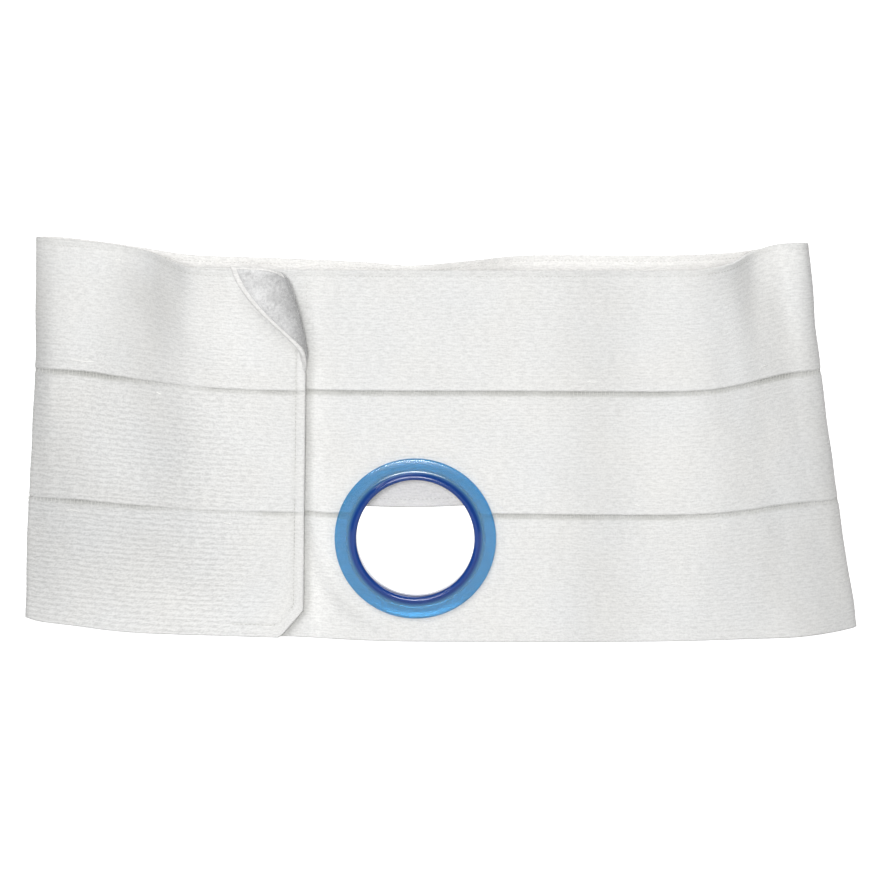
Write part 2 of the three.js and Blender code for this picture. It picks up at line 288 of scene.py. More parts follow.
# The flap's upper corner rolls over to the left, more and more from its foot to the top edge.
def peeled(point):
    fromTop = point - peelTop
    height = np.minimum(1, 1 + fromTop @ peelUp / peelShape["height"])
    inward = np.maximum(0, -(fromTop @ peelSide))
    size = rollSize(np.maximum(height, 0))
    begin = size["back"] + size["lead"]
    moves = (height > 0) & (inward < begin)
    size = {key: value[moves] for key, value in size.items()}
    height, inward, begin = height[moves], inward[moves], begin[moves]
    turn = rollTurn(1 - inward / begin, size)
    inside, outward = rollPoint(turn, size)
    rise = peelShape["rise"] * (1 - np.cos(turn)) / 2 - peelShape["drop"] * np.sin(turn) ** 4
    moved = point.copy()
    moved[moves] += (inward - size["back"] - inside)[:, None] * peelSide
    moved[moves] += outward[:, None] * peelOut + (rise * height**2)[:, None] * peelUp
    return moved


def cloth(station, level):
    station, level = np.broadcast_arrays(np.asarray(station, float), np.asarray(level, float))
    station, level = station.ravel(), level.ravel()
    point = bareCloth(station, level)
    point = np.where((station < lastSection / 2)[:, None], flattened(point), point)
    curls = ((station > peelShape["start"]) & (level > 2))[:, None]
    return np.where(curls, peeled(point), point)


# Running length round the loop at each station, at middle height
fineStations = np.linspace(0, lastSection, lastSection * 60 + 1)
fineSteps = np.linalg.norm(np.diff(bareCloth(fineStations, 1.5), axis=0), axis=1)
fineLengths = np.concatenate([[0], np.cumsum(fineSteps)])
loopLength = fineLengths[-1]


def lengthAt(station):
    return np.interp(station, fineStations, fineLengths)


def stationAt(length):
    return np.interp(length, fineLengths, fineStations)


def heightAt(level):
    return np.interp(level, (0, 1, 2, 3), np.concatenate([[0], np.cumsum(bandHeights)]))


def levelAt(height):
    return np.interp(height, np.concatenate([[0], np.cumsum(bandHeights)]), (0, 1, 2, 3))


flapShape = {
    "cutLength": 14.5,
    "cutHeight": 18,
    "hemWidth": 6,
    "hemRise": 0.55,
    "hemLine": 0.5,
    "hemShade": 0.16,
    "endShade": 0.1,
    "gapShade": 0.62,
    "curlShade": 0.32,
    "curlFrom": (160, 185),
    "curlTo": (205, 224),
    "lean": 10,
    "leanFrom": 175,
    "footHem": 8,
    "footHemLength": 46,
}


# Level of the lowest edge: level at the front, up at the back, cut off at the flap's end
def hemLevel(station):
    hems = [section[-1] for section in loopShape["sections"]]
    hem = np.interp(station, np.arange(lastSection + 1), hems)
    fromEnd = np.maximum(loopLength - lengthAt(station), 0)
    cut = np.maximum(0, 1 - fromEnd / flapShape["cutLength"]) * (station >= lastSection - 1)
    return hem + flapShape["cutHeight"] / bandHeights[0] * cut


# The ring's section: places from its axis and along it, from the hub's end round to the lip
def ringProfile():
    hole = ringShape["hole"] / 2
    hub = hubRadius
    rim = ringShape["flangeDiameter"] / 2
    back = halfWall + ringShape["seatGap"]
    front = back + ringShape["flangeThickness"]
    top = front + ringShape["lipHeight"]
    behind = -ringShape["hubBehind"]
    soft = ringShape["rimRound"]
    bead = ringShape["hubWall"] / 2
    turned, corner = ringShape["hubRound"], ringShape["corner"]
    fillet, foot = ringShape["filletWidth"], ringShape["filletHeight"]
    flat = hub + corner + 2 * fillet
    tall = ringShape["beadHeight"]

    def arc(middle, radiusAcross, radiusAlong, start, end, count):
        turns = np.radians(np.linspace(start, end, count))
        across = middle[0] + radiusAcross * np.cos(turns)
        return list(zip(across, middle[1] + radiusAlong * np.sin(turns)))

    points = arc((hole + turned, behind + turned), turned, turned, 180, 270, 5)
    points += arc((hub - turned, behind + turned), turned, turned, 270, 360, 5)
    points += [(hub, back - corner), (hub + corner, back), (flat, back)]
    points += arc((rim - soft, back + soft), soft, soft, 270, 360, 6)
    points += arc((rim - soft, front - soft), soft, soft, 0, 90, 7)
    points += [(flat, front)]
    points += arc((hub + corner + fillet, front + foot), fillet, foot, 290, 235, 5)
    points += arc((hole + bead, top - tall), bead, tall, 30, 180, 15)
    return np.array(points)


ringTurnZ = unit(ringNormal)
ringTurnX = unit(np.cross([0, 0, 1], ringTurnZ))
ringTurnY = np.cross(ringTurnZ, ringTurnX)


def ringPlace(radius, angle, along):
    flat = np.outer(np.cos(angle), ringTurnX) + np.outer(np.sin(angle), ringTurnY)
    return ringCentre + radius[:, None] * flat + along[:, None] * ringTurnZ


def ringPoints():
    profile = ringProfile()
    angles = np.linspace(0, 2 * np.pi, ringShape["sides"], endpoint=False)
    angle = np.repeat(angles, len(profile))
    radius = np.tile(profile[:, 0], len(angles))
    return ringPlace(radius, angle, np.tile(profile[:, 1], len(angles)))


# The part's own place: the ring's box in the frame says how far the tables are moved.
def partShift():
    low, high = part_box("belt_ring")
    points = ringPoints()
    middle = (points.min(axis=0) + points.max(axis=0)) / 2
    return (np.array(low) + np.array(high)) / 2 / mm - middle


shift = partShift()
print(f"loop {loopLength:.0f} mm long, table placed by {np.round(shift, 2)} mm")


def newObject(name, points, faces, uv=None, marks=None):
    mesh = bpy.data.meshes.new(name)
    mesh.vertices.add(len(points))
    mesh.vertices.foreach_set("co", ((points + shift) * mm).astype(np.float32).ravel())
    if isinstance(faces, list):
        counts = np.array([len(face) for face in faces])
        corners = np.concatenate(faces)
    else:
        counts = np.full(len(faces), faces.shape[1])
        corners = faces.ravel()
    starts = np.cumsum(counts) - counts
    mesh.loops.add(len(corners))
    mesh.loops.foreach_set("vertex_index", corners.astype(np.int32))
    mesh.polygons.add(len(counts))
    mesh.polygons.foreach_set("loop_start", starts.astype(np.int32))
    mesh.polygons.foreach_set("use_smooth", np.ones(len(counts), bool))
    if uv is not None:
        layer = mesh.uv_layers.new(name="UVMap")
        layer.data.foreach_set("uv", uv[corners].astype(np.float32).ravel())
    for key, values in (marks or {}).items():
        attribute = mesh.attributes.new(key, "FLOAT", "POINT")
        attribute.data.foreach_set("value", values.astype(np.float32))
    mesh.update(calc_edges=True)
    mesh.validate()
    made = bpy.data.objects.new(name, mesh)
    bpy.context.scene.collection.objects.link(made)
    return made


def finished(piece, material, slotName, *nodes):
    piece.data.materials.append(material)
    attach(piece, "root")
    if nodes:
        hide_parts(*nodes)
    return piece


# Quads between rings of points, each joined to the next; a closed run joins the last to the first
def ringQuads(rings, around, closed=False):
    ring, k = np.meshgrid(np.arange(rings - (not closed)), np.arange(around), indexing="ij")
    ring, k = ring.ravel(), k.ravel()
    here, there, nextK = ring * around, (ring + 1) % rings * around, (k + 1) % around
    return np.stack([here + k, there + k, there + nextK, here + nextK], 1)


# Quads of a closed skin: rows of points round, the first and last row capped
def skinFaces(rows, around):
    sides = ringQuads(rows, around)
    half = around // 2
    k = np.arange(half - 1)
    first = np.stack([k, k + 1, around - 2 - k, around - 1 - k], 1)
    last = first[:, ::-1] + (rows - 1) * around
    return np.concatenate([sides, first, last])


# Materials
def linear(hexColour):
    channels = [int(hexColour[i:i + 2], 16) / 255 for i in (1, 3, 5)]
    return tuple(c / 12.92 if c <= 0.04045 else ((c + 0.055) / 1.055) ** 2.4 for c in channels) + (1,)


def addNode(tree, kind, settings=None, **links):
    node = tree.nodes.new("ShaderNode" + kind)
    for key, value in (settings or {}).items():
        setattr(node, key, value)
    for key, value in links.items():
        numbered = key[0] == "i" and key[1:].isdigit()
        socket = node.inputs[int(key[1:]) if numbered else key.replace("_", " ")]
        if isinstance(value, bpy.types.NodeSocket):
            tree.links.new(value, socket)
        else:
            socket.default_value = value
    return node


def newMaterial(name):
    material = bpy.data.materials.new(name)
    material.use_nodes = True
    material.node_tree.nodes.clear()
    return material, material.node_tree


# Settings of two kinds of node that the materials share
multiplied = {"data_type": "RGBA", "blend_type": "MULTIPLY"}
multiplyAdd = {"operation": "MULTIPLY_ADD"}


elasticLook = {
    "warmWhite": "#e8e7e4",
    "coolWhite": "#e5e6e6",
    # the inside is painted lighter than the outside: painted light for the inside of the loop, which the lamps
    # reach less
    "inside": "#f2f1ef",
    # colour of the painted shade in the joints' grooves, by the flap's end and beside the peeled corner
    "grooveShade": "#cdcdca",
    "ribPitch": 3.3,
    "ribHeight": 0.07,
    "ribShade": 0.11,
    "ribShare": 0.12,
    "wobbleLength": 26,
    "wobbleHeight": 7,
    "wobble": 5.0,
    "dashLength": 4.6,
    "dashHeight": 0.95,
    "grain": 1.3,
    "grainShare": 0.8,
    "patchSize": 45,
    # where the painted shade in the ribs is deeper, across and up
    "ribShadeAcross": (-150, -90),
    "ribShadeUp": (120, 200),
}


# Knitted elastic, ribbed along the belt, loomed in polyester over rubber cores. It gives the
# eye a matt, slightly fuzzy white with fine broken rows and a few warmer and cooler patches.
# The knit is drawn in grains of 1.3 mm, coarser than its real 0.8 mm courses, so that it shows.
def knittedElastic(name, warmWhite, coolWhite):
    material, tree = newMaterial(name)
    uv = addNode(tree, "UVMap", {"uv_map": "UVMap"}).outputs["UV"]

    def noise(width, height, detail, roughness):
        place = addNode(tree, "VectorMath", {"operation": "MULTIPLY"}, i0=uv,
                        i1=(1 / width, 1 / height, 1)).outputs[0]
        return addNode(tree, "TexNoise", {"noise_dimensions": "2D"}, Vector=place, Scale=1.0,
                       Detail=detail, Roughness=roughness).outputs["Fac"]

    patch = noise(elasticLook["patchSize"], elasticLook["patchSize"], 2.0, 0.5)
    dashes = noise(elasticLook["dashLength"], elasticLook["dashHeight"], 1.5, 0.6)
    grains = noise(elasticLook["grain"], elasticLook["grain"], 2.0, 0.6)
    white = addNode(tree, "Mix", {"data_type": "RGBA"}, Factor=patch,
                    i6=linear(warmWhite), i7=linear(coolWhite)).outputs[2]
    wobble = noise(elasticLook["wobbleLength"], elasticLook["wobbleHeight"], 1.0, 0.5)
    height = addNode(tree, "SeparateXYZ", Vector=uv).outputs["Y"]
    turns = addNode(tree, "Math", multiplyAdd, i0=height,
                    i1=2 * math.pi / elasticLook["ribPitch"], i2=math.pi).outputs[0]
    turns = addNode(tree, "Math", multiplyAdd, i0=wobble,
                    i1=elasticLook["wobble"], i2=turns).outputs[0]
    ribs = addNode(tree, "Math", {"operation": "SINE"}, i0=turns).outputs[0]
    weave = addNode(tree, "Math", multiplyAdd, i0=grains,
                    i1=elasticLook["grainShare"], i2=dashes).outputs[0]
    # painted shade in the rib furrows and the knit's hollows, deeper where ribbed is high
    ribbed = addNode(tree, "Attribute", {"attribute_name": "ribbed"}).outputs["Fac"]
    ribDepth = addNode(tree, "Math", {"operation": "MULTIPLY"}, i0=ribbed,
                       i1=elasticLook["ribShade"]).outputs[0]
    knit = addNode(tree, "Math", multiplyAdd, i0=ribs,
                   i1=ribDepth, i2=weave).outputs[0]
    bump = addNode(tree, "Bump", Height=weave, Strength=0.45, Distance=0.5 * mm).outputs[0]
    depth = addNode(tree, "MapRange", i0=ribbed, i1=0.0, i2=1.0, i3=0.855, i4=0.785).outputs[0]
    hollowShade = addNode(tree, "MapRange", i0=knit, i1=0.62, i2=1.12, i3=depth, i4=1.0).outputs[0]
    shaded = addNode(tree, "Mix", multiplied, Factor=1.0,
                     i6=white, i7=hollowShade).outputs[2]
    # painted shade in the groove colour: in the joints, along the hem, at the flap's end and beside the peeled
    # corner
    paintedShade = addNode(tree, "Attribute", {"attribute_name": "paintedShade"}).outputs["Fac"]
    darker = addNode(tree, "Mix", multiplied, Factor=paintedShade,
                     i6=shaded, i7=linear(elasticLook["grooveShade"])).outputs[2]
    # painted light and shade over the folds, and painted light low on the back
    paintedLightShade = addNode(tree, "Attribute", {"attribute_name": "paintedLightShade"}).outputs["Fac"]
    colour = addNode(tree, "Mix", multiplied, Factor=1.0,
                     i6=darker, i7=paintedLightShade).outputs[2]
    shader = addNode(tree, "BsdfPrincipled", Base_Color=colour, Roughness=0.92, Normal=bump,
                     Sheen_Weight=0.15, Sheen_Roughness=0.6, Specular_IOR_Level=0.2).outputs[0]
    addNode(tree, "OutputMaterial", Surface=shader)
    return material


# Spun polyester sewing thread: round and tight. The loose threads are a little brighter than the knit; the
# threads in the joints and at the edges are painted a grey darker than the knit, painted shade for threads
# sunk in grooves and stitch holes.
def sewingThread(name, hexColour):
    material, tree = newMaterial(name)
    uv = addNode(tree, "TexCoord").outputs["Object"]
    twist = addNode(tree, "TexNoise", Vector=uv, Scale=1800.0, Detail=1.0).outputs["Fac"]
    bump = addNode(tree, "Bump", Height=twist, Strength=0.4, Distance=0.1 * mm).outputs[0]
    tint = addNode(tree, "MapRange", i0=twist, i1=0.3, i2=0.7, i3=0.9, i4=1.0).outputs[0]
    colour = addNode(tree, "Mix", multiplied, Factor=1.0,
                     i6=linear(hexColour), i7=tint).outputs[2]
    shader = addNode(tree, "BsdfPrincipled", Base_Color=colour, Roughness=0.7, Normal=bump,
                     Sheen_Weight=0.1).outputs[0]
    addNode(tree, "OutputMaterial", Surface=shader)
    return material


# Nylon hook tape, woven, its loops cut to hooks. It gives the eye a grey fuzz with light tips.
# Towards the fold of the peeled corner, where the mark bend is high, the tape is darkened with painted shade.
def hookTape(name, darkGrey, lightGrey, paintedBendShade):
    material, tree = newMaterial(name)
    place = addNode(tree, "TexCoord").outputs["Object"]
    cloud = addNode(tree, "TexNoise", Vector=place, Scale=90.0, Detail=3.0).outputs["Fac"]
    speckle = addNode(tree, "TexNoise", Vector=place, Scale=520.0, Detail=3.0,
                      Roughness=0.7).outputs["Fac"]
    mixed = addNode(tree, "Math", multiplyAdd, i0=cloud, i1=0.6,
                    i2=speckle).outputs[0]
    share = addNode(tree, "MapRange", i0=mixed, i1=0.6, i2=1.0).outputs[0]
    colour = addNode(tree, "Mix", {"data_type": "RGBA"}, Factor=share,
                     i6=linear(darkGrey), i7=linear(lightGrey)).outputs[2]
    bump = addNode(tree, "Bump", Height=speckle, Strength=0.8, Distance=0.5 * mm).outputs[0]
    # painted shade round the fold
    bend = addNode(tree, "Attribute", {"attribute_name": "bend"}).outputs["Fac"]
    colour = addNode(tree, "Mix", multiplied, Factor=bend,
                     i6=colour, i7=linear(paintedBendShade)).outputs[2]
    shader = addNode(tree, "BsdfPrincipled", Base_Color=colour, Roughness=0.85, Normal=bump,
                     Sheen_Weight=0.2).outputs[0]
    addNode(tree, "OutputMaterial", Surface=shader)
    return material


vinylLook = {
    "flange": "#84ceec",
    # painted deep blue, standing in for the long path through the hub's wall
    "hub": "#063f90",
    "flangeClearness": 0.82,
    "hubClearness": 0.25,
    "absorbs": (0.22, 0.085, 0.012),
}


# Clear blue vinyl, injection moulded and polished: thin at the flange, where the white knit shows through in
# sky blue. The hub is painted deep blue and less clear, painted depth of colour for where the eye looks along
# the hub's wall.
def mouldedVinyl():
    material, tree = newMaterial("mouldedClearVinyl")
    place = addNode(tree, "TexCoord").outputs["Object"]
    flow = addNode(tree, "TexNoise", Vector=place, Scale=45.0, Detail=1.0).outputs["Fac"]
    bump = addNode(tree, "Bump", Height=flow, Strength=0.05, Distance=1 * mm).outputs[0]
    # painted depth of colour: deep blue at the hub, fading out across the fillet
    depth = addNode(tree, "Attribute", {"attribute_name": "wall"}).outputs["Fac"]
    colour = addNode(tree, "Mix", {"data_type": "RGBA"}, Factor=depth,
                     i6=linear(vinylLook["flange"]), i7=linear(vinylLook["hub"])).outputs[2]
    clear = addNode(tree, "MapRange", i0=depth, i1=0.0, i2=1.0,
                    i3=vinylLook["flangeClearness"], i4=vinylLook["hubClearness"]).outputs[0]
    shader = addNode(tree, "BsdfPrincipled", Base_Color=colour, Roughness=0.12,
                     IOR=1.49, Transmission_Weight=clear, Specular_IOR_Level=0.3,
                     Normal=bump).outputs[0]
    density = max(vinylLook["absorbs"]) / mm
    passes = [1 - share / mm / density for share in vinylLook["absorbs"]]
    volume = addNode(tree, "VolumeAbsorption", Color=(*passes, 1), Density=density).outputs[0]
    addNode(tree, "OutputMaterial", Surface=shader, Volume=volume)
    return material


elastic = knittedElastic("knittedElastic", elasticLook["warmWhite"], elasticLook["coolWhite"])
# A lighter copy of the knit for the inside: painted light, as the lamps reach the inside of the loop less.
elasticInsidePaintedLight = knittedElastic("knitInsidePaintedLighter", elasticLook["inside"], elasticLook["inside"])
# joint and edge threads: painted shade, darker than the knit
jointThread = sewingThread("spunThreadInJointsPaintedShade", "#d0d0cc")
edgeThread = sewingThread("spunThreadAtEdgesPaintedShade", "#c9c9c4")
pulledThread = sewingThread("looseThread", "#f4f4f1")
hookGround = hookTape("wovenHookTape", "#c0c0c0", "#e6e6e6", "#dcdcdc")
hookTips = hookTape("cutNylonHooks", "#cecece", "#f2f2f2", "#dcdcdc")
vinyl = mouldedVinyl()
print("materials made")


bandShape = {
    "columnStep": 3.1,
    "curlStep": 0.75,
    "curlLength": 26,
    "rowsPerRib": 4,
    "edgeRows": (0, 0.3, 0.7, 1.1, 1.45, 1.8, 2.3, 3.0),
    "jointGap": 0.06,
    "selvage": 3.4,
    "selvageShade": 0.12,
    "edgeRound": 1.05,
    "jointAbove": 0.8,
    "jointBelow": 3.3,
    "jointDepth": 0.75,
    "slopeAbove": 0.35,
    "slopeBelow": 2.2,
    "welt": 0.16,
    "taperTip": 5.6,
    # how open the joint lies, which sets the groove's depth and how much painted shade lies in it: a place in
    # stations, and from 0 for closed to 1 for full depth
    "lowerOpening": [
        (0, 0.3), (2.5, 0.5), (3, 0.75), (7, 0.7), (8, 0.5), (10, 0.58), (11, 0.5), (12, 0.25),
        (13, 0.2), (14, 0.6), (26.6, 0.6), (27.4, 0.15), (28, 0.35), (28.6, 0.5), (29, 0.72),
        (29.3, 0.55), (30.7, 0.55), (31.1, 0.4), (31.5, 0.25), (32.5, 0.1), (33.6, 0.12),
        (34, 0.2), (34.2, 0.5), (34.5, 0.5), (34.75, 0.22), (35, 0.1),
    ],
    "upperOpening": [
        (0, 0.3), (2.1, 0.5), (2.5, 0.7), (3, 0.78), (7, 0.78), (8, 0.6), (9, 0.68), (10, 0.85),
        (11, 0.9), (12, 0.5), (13, 0.35), (14, 0.6), (26.6, 0.6), (27.4, 0.2), (28.1, 0.65),
        (28.5, 0.88), (30.1, 0.9), (30.5, 0.5), (31, 0.45), (31.5, 0.25), (32.3, 0.12), (33, 0.1),
        (33.3, 0.4), (34, 0.45), (34.3, 0.65), (34.6, 0.65), (34.85, 0.25), (35, 0.1),
    ],
}


def jointOpening(station, joint):
    rows = np.array(bandShape[("lowerOpening", "upperOpening")[joint]])
    return np.interp(station, rows[:, 0], rows[:, 1])


# Height of the rows in a band, closer together at its edges
def bandRows(height):
    edge = np.array(bandShape["edgeRows"])
    count = int(round((height - 2 * edge[-1]) / elasticLook["ribPitch"] * bandShape["rowsPerRib"]))
    inner = np.linspace(edge[-1], height - edge[-1], count + 1)[1:-1]
    return np.concatenate([edge, inner, height - edge[::-1]]) / height


def roundedEdge(distance, radius, depth):
    t = np.clip(1 - distance / radius, 0, 1)
    return depth * (1 - np.sqrt(1 - t * t))


# Slow unevenness of cloth that has been worn and folded, in mm
def waviness(length, height):
    waves = [(61, 47, 0.3, 0.16), (37, -90, 1.9, 0.12), (23, 31, 4.1, 0.08), (118, 66, 2.6, 0.22)]
    return sum(size * np.sin(2 * np.pi * (length / along + height / up) + start)
               for along, up, start, size in waves)


# The vinyl flange holds the cloth smooth, so its unevenness fades out towards the ring.
def clearOfFlange(point):
    proud, radius = fromRing(point)
    rim = ringShape["flangeDiameter"] / 2
    clear = smooth(rim + ringShape["wavesFrom"], rim + ringShape["wavesFull"], radius)
    return np.maximum(clear, np.abs(proud) > ringShape["reach"])


# Painted shadow on the front where it runs in under the flap's end, and beside the peeled corner, which leans
# back from the end the higher it is.
def paintedFlapShadow(length, height, station):
    cut = flapShape["cutLength"] * np.maximum(0, 1 - height / flapShape["cutHeight"])
    lean = flapShape["lean"] * (np.maximum(0, height - flapShape["leanFrom"]) / 40) ** 2
    past = length - lengthAt(2) + cut + lean
    curl = smooth(*flapShape["curlFrom"], height)
    end = flapShape["gapShade"] * (1 - curl) * hump(past, 2.0, 2.2)
    beside = flapShape["curlShade"] * curl * (1 - smooth(*flapShape["curlTo"], height))
    return (end + beside * hump(past, 1.0, 4.5)) * (station < 4)


# Painted light and shade on the front, standing in for how the light falls over its folds: the place across
# the front and up in mm, the half width, the half height, and the loss of light. The back's lower edge, seen
# through the ring, is painted lighter and is the whitest.
paintedLightShadePlaces = {
    "backEdge": -0.08,
    "backEdgeFade": (82, 106),
    "columns": ("across", "height", "halfWidth", "halfHeight", "loss"),
    "rows": [
        (-246, 110, 18, 160, 0.13), (-251, 180, 12, 60, 0.12), (-251, 165, 6, 90, 0.11),
        (-180, 175, 24, 65, 0.06), (198, 160, 22, 70, -0.075), (-232, 105, 26, 45, 0.09),
        (-205, 60, 60, 42, 0.09), (-130, 12, 45, 16, -0.04), (-183, 190, 30, 42, 0.08),
        (-168, 115, 22, 45, 0.1), (-130, 190, 24, 40, -0.06), (-157, 195, 10, 35, -0.08),
        (-190, 208, 30, 16, 0.05), (-76, 120, 5, 200, -0.06), (-73, 38, 9, 40, -0.08),
        (98, 110, 26, 300, 0.085), (181, 190, 12, 45, -0.14), (207, 25, 38, 60, 0.1), (218, 205, 16, 22, 0.04),
        (236, 110, 18, 200, 0.11), (236, 105, 14, 40, 0.08), (187, 188, 17, 38, -0.055),
        (230, 20, 8, 30, -0.05), (-190, 45, 40, 40, 0.03), (-241, 150, 7, 70, -0.05),
        (182, 200, 22, 40, -0.045), (198, 172, 14, 26, -0.04), (196, 120, 30, 40, -0.025),
    ],
}


def paintLightShade(point, out, height):
    front = out[:, 1] < 0
    loss = paintedLightShadePlaces["backEdge"] * (1 - smooth(*paintedLightShadePlaces["backEdgeFade"], height)) * ~front
    for across, middle, halfWidth, halfHeight, most in paintedLightShadePlaces["rows"]:
        far = ((point[:, 0] - across) / halfWidth) ** 2 + ((height - middle) / halfHeight) ** 2
        loss += most * np.exp(-far) * front
    return 1 - loss


# Low on the left, the painted shade in the rib furrows and knit hollows is deeper.
def deeperRibShade(point):
    across = 1 - smooth(*elasticLook["ribShadeAcross"], point[:, 0])
    return across * (1 - smooth(*elasticLook["ribShadeUp"], point[:, 2]))


# How far in from the hem's stitching line a place lies: under zero is on the hem itself
def hemDistance(fromEnd, height, index, toStation):
    if toStation < lastSection:
        return np.full(fromEnd.shape, 1e3)
    inside = fromEnd - flapShape["hemWidth"]
    if index > 0:
        return inside
    length, rise = flapShape["cutLength"], flapShape["cutHeight"]
    across = (fromEnd / length + height / rise - 1) / math.hypot(1 / length, 1 / rise)
    foot = height - flapShape["footHem"] + 30 * smooth(0, 6, fromEnd - flapShape["footHemLength"])
    return np.minimum(np.minimum(inside, across - flapShape["hemWidth"]), foot)


def makeBand(name, node, index, fromStation, toStation):
    count = int(round((lengthAt(toStation) - lengthAt(fromStation)) / bandShape["columnStep"]))
    lengths = np.linspace(lengthAt(fromStation), lengthAt(toStation), count + 1)
    if index == 2:
        curl = loopLength - bandShape["curlLength"]
        fine = np.arange(curl, loopLength, bandShape["curlStep"])
        lengths = np.concatenate([lengths[lengths < curl - 1], fine, lengths[-1:]])
    ends = np.array(bandShape["edgeRows"])[:4]
    lengths = np.unique(np.concatenate([lengths[0] + ends, lengths[1:-1], lengths[-1] - ends]))
    stations = stationAt(lengths)
    lowest = hemLevel(stations) if index == 0 else np.full(len(stations), float(index))
    gap = bandShape["jointGap"] / 2 / bandHeights[index]
    shares = bandRows(bandHeights[index])
    lowLevel, highLevel = lowest + gap, np.full(len(stations), index + 1 - gap)
    level = lowLevel[:, None] + (highLevel - lowLevel)[:, None] * shares
    station = np.repeat(stations, len(shares)).reshape(level.shape)
    length = np.repeat(lengths, len(shares)).reshape(level.shape)
    height = heightAt(level)
    fromLow = height - heightAt(lowLevel)[:, None]
    fromHigh = heightAt(highLevel)[:, None] - height
    fromEnd = lengths[-1] - length if toStation == lastSection else np.full(level.shape, 1e3)
    fromStart = length - lengths[0]
    point = cloth(station, level)
    out = facing(cloth, station.ravel(), level.ravel())

    inset = np.zeros(level.shape)
    paintedShade = np.zeros(level.shape)
    relief = np.zeros(level.shape)
    # Each joint is a sunk groove with painted shade in it, sharp under the upper band's edge and fading down
    # the lower band.
    for side, joint, distance in (("Above", index - 1, fromLow), ("Below", index, fromHigh)):
        if 0 <= joint <= 1:
            width = bandShape["joint" + side]
            opening = jointOpening(station, joint)
            opening = opening * (1 + 0.1 * np.sin(length / 7.3) + 0.08 * np.sin(length / 2.9))
            groove = 1 - smooth(width - bandShape["slope" + side], width + 0.1, distance)
            inset = np.maximum(inset, bandShape["jointDepth"] * groove * (0.25 + 0.75 * opening))
            if side == "Below":
                groove = 1 - 0.25 * smooth(0, width - 0.6, distance)
                groove -= 0.75 * smooth(width - 1.5, width + 0.5, distance)
            paintedShade = np.maximum(paintedShade, groove * opening)
            relief += bandShape["welt"] * hump(distance, width + 0.8, 0.5) * opening
        else:
            inset = np.maximum(inset, roundedEdge(distance, bandShape["edgeRound"], 0.9))
    for distance in (fromEnd, fromStart):
        inset = np.maximum(inset, roundedEdge(distance, bandShape["edgeRound"], 0.9))

    edge = np.minimum(np.minimum(fromLow, fromHigh), fromEnd)
    ribs = elasticLook["ribHeight"] * np.cos(2 * np.pi * height / elasticLook["ribPitch"])
    relief += ribs * smooth(bandShape["selvage"] - 0.6, bandShape["selvage"] + 0.8, edge)
    inHem = hemDistance(fromEnd, height, index, toStation)
    relief += flapShape["hemRise"] * (1 - smooth(-0.9, 0.1, inHem))
    relief -= flapShape["hemLine"] * hump(inHem, 0, 0.55)
    # The top band's selvage, its upper 3 to 4 mm, is drawn darker through the same mark.
    if index == 2:
        paintedShade += bandShape["selvageShade"] * (1 - smooth(3.0, 4.2, fromHigh))
    # painted shadow by the flap's end and beside the peeled corner
    paintedShade = np.clip(paintedShade + paintedFlapShadow(length, height, station), 0, 1)
    free = waviness(length, height) * smooth(0, 12, np.minimum(fromLow, fromHigh))
    relief += free * clearOfFlange(point).reshape(level.shape)
    front = point + out * (halfWall + relief - inset).ravel()[:, None]
    back = point + out * (-halfWall - relief * 0.5 + inset).ravel()[:, None]

    rows, columns = level.shape
    front, back = front.reshape(rows, columns, 3), back.reshape(rows, columns, 3)
    around = np.concatenate([front, back[:, ::-1]], axis=1)
    middle = point.reshape(*level.shape, 3)
    along = np.linalg.norm(np.diff(middle, axis=0), axis=2)
    along = np.vstack([np.zeros(level.shape[1]), np.cumsum(along, axis=0)])
    flat = np.stack([along, height], -1)
    uv = np.concatenate([flat, flat[:, ::-1]], axis=1).reshape(-1, 2)
    paintedLightShade = paintLightShade(point, out, height.ravel()).reshape(level.shape)
    ribbed = np.ones(level.shape) * elasticLook["ribShare"]
    ribbed += (1 - elasticLook["ribShare"]) * deeperRibShade(point).reshape(level.shape)
    marks = {"paintedShade": paintedShade, "paintedLightShade": paintedLightShade, "ribbed": ribbed}
    marks = {key: np.concatenate([mark, mark[:, ::-1]], axis=1) for key, mark in marks.items()}
    # Painted shade along the hem's sunk stitching line and along the flap's free end, on the outer face only.
    seam = flapShape["hemShade"] * hump(inHem, 0, 0.8)
    marks["paintedShade"][:, :columns] += seam + flapShape["endShade"] * hump(fromEnd, 0, 1.5)
    marks = {key: mark.ravel() for key, mark in marks.items()}
    faces = skinFaces(rows, 2 * columns)
    piece = newObject(name, around.reshape(-1, 3), faces, uv, marks)
    finished(piece, elastic, "elastic", node)
    piece.data.materials.append(elasticInsidePaintedLight)
    inside = (faces % (2 * columns)).min(axis=1) >= columns
    piece.data.polygons.foreach_set("material_index", inside.astype(np.int32))
    return piece


def taperStations():
    taper = 1 - bandShape["taperTip"] / bandHeights[0]
    hems = [section[-1] for section in loopShape["sections"]]
    found = []
    for i, (here, there) in enumerate(zip(hems, hems[1:])):
        if (here - taper) * (there - taper) < 0:
            found.append(i + (taper - here) / (there - here))
    return found


rightTaper, leftTaper = taperStations()
bands = {
    "topBand": makeBand("topBand", "top_band", 2, 0, lastSection),
    "middleBand": makeBand("middleBand", "middle_band", 1, 0, lastSection),
    "bottomBandFront": makeBand("bottomBandFront", "bottom_band_front", 0, 0, rightTaper),
    "bottomBandFlap": makeBand("bottomBandFlap", "bottom_band_flap", 0, leftTaper, lastSection),
}
print("bands made")


